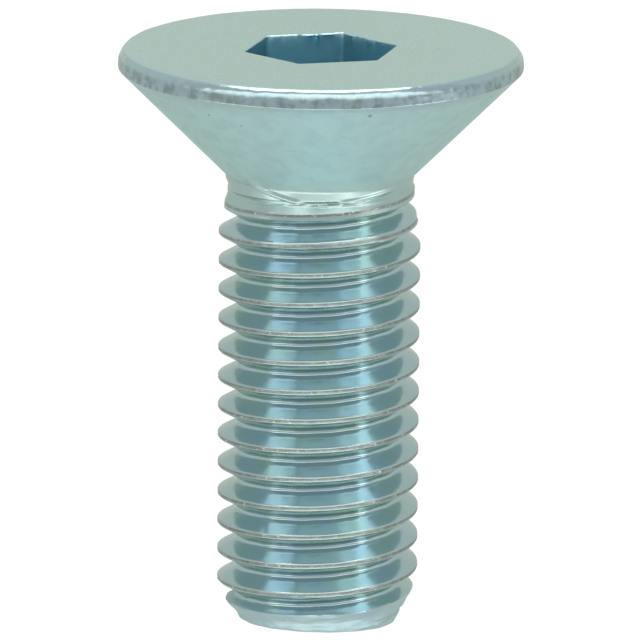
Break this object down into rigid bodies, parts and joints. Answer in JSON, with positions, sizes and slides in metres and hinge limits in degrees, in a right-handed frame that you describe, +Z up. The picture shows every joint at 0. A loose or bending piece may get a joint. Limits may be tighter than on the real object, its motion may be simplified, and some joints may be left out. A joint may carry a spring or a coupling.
{
  "type": "countersunk socket screw",
  "caption": "Machine screw with a countersunk conical head, a hexagon socket and a coarse right-hand thread up to its neck, lying on its side.",
  "frame": {"origin": "on the ground, under the middle of the screw as it lies on its side: the bottom centre of its bounding box", "axes": "+Y level, towards the head, and the screw's own axis rises 10.8 degrees from it; +Z up; +X to the right, seen from above with the head at the far end"},
  "size_m": [0.0238, 0.0366, 0.0235],
  "materials": {
    "zinc_plated_steel": "bright zinc plating with a faint blue and yellow-green tint, over a forged and rolled surface"
  },
  "bodies": {
    "root": {"screw": "zinc_plated_steel"}
  },
  "joints": []
}
